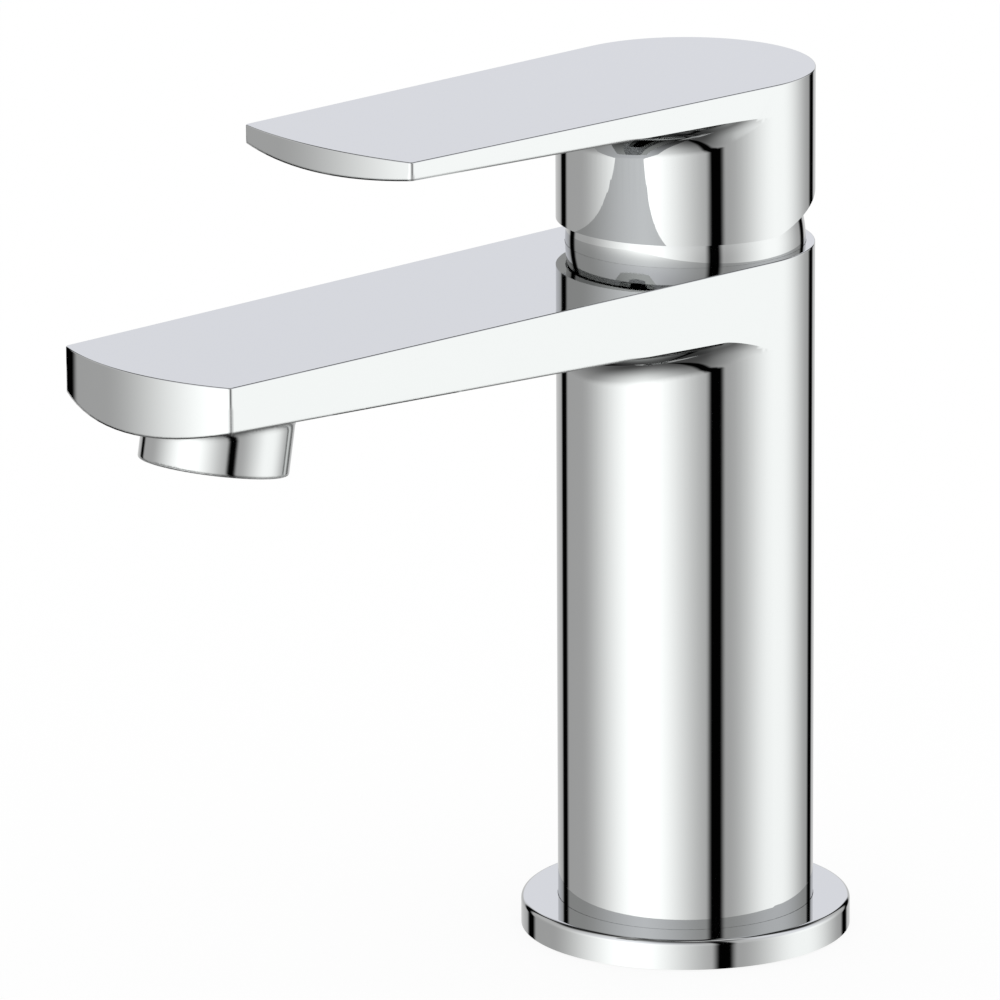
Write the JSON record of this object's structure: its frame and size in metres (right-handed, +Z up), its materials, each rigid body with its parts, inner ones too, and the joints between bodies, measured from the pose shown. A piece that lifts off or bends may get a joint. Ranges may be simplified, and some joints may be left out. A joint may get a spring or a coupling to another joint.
{
  "type": "basin mixer faucet",
  "caption": "Chrome single-lever basin mixer: round column, flat spout with a tilted aerator outlet, flat lever on a ceramic-disc cartridge, threaded sockets for hoses and stud.",
  "frame": {"origin": "on the column's axis at the deck plane, the underside of the base flange", "axes": "+Z up along the column, -Y along the spout and the lever, +X to the right of someone who faces the faucet from the spout's end"},
  "size_m": [0.058, 0.1589, 0.1545],
  "materials": {
    "polished_chrome": "mirror-polished chrome plate",
    "brass": "turned brass",
    "steel": "plain stainless steel",
    "alumina": "lapped ceramic",
    "grey_plastic": "moulded",
    "white_plastic": "moulded",
    "index_plastic": "moulded, hot and cold colour halves",
    "black_rubber": "moulded"
  },
  "bodies": {
    "fixed": {"faucet_body": "polished_chrome", "inlet_block": "brass", "base_flange": "polished_chrome", "base_gasket": "black_rubber", "cartridge_housing": "grey_plastic", "cartridge_base": "grey_plastic", "inlet_seals": "black_rubber", "disc_seals": "black_rubber", "fixed_disc": "alumina", "housing_o_ring": "black_rubber", "cartridge_nut": "brass", "dome_cap": "polished_chrome", "dome_o_ring": "black_rubber", "aerator_housing": "polished_chrome", "aerator_insert": "white_plastic", "aerator_screen": "steel", "aerator_washer": "black_rubber"},
    "turntable": {"stem_guide": "white_plastic", "pivot_pin": "steel"},
    "lever": {"lever_handle": "polished_chrome", "lever_stem": "brass", "set_screw": "steel", "index_plug": "index_plastic"},
    "disc_carriage": {"disc_carrier": "white_plastic", "moving_disc": "alumina"}
  },
  "joints": [
    {"name": "temperature", "type": "hinge", "parent": "fixed", "child": "turntable", "pos_m": [0, 0, 0.1235], "axis": [0, 0, 1], "range_deg": [-50, 50]},
    {"name": "lift", "type": "hinge", "parent": "turntable", "child": "lever", "pos_m": [0, 0, 0.1235], "axis": [-1, 0, 0], "range_deg": [0, 22]},
    {"name": "disc_slide", "type": "slide", "parent": "turntable", "child": "disc_carriage", "axis": [0, -1, 0], "range_m": [0, 0.0078]}
  ],
  "couplings": [
    {"joint": "disc_slide", "follows": "lift", "m_per_rad": 0.02005}
  ]
}
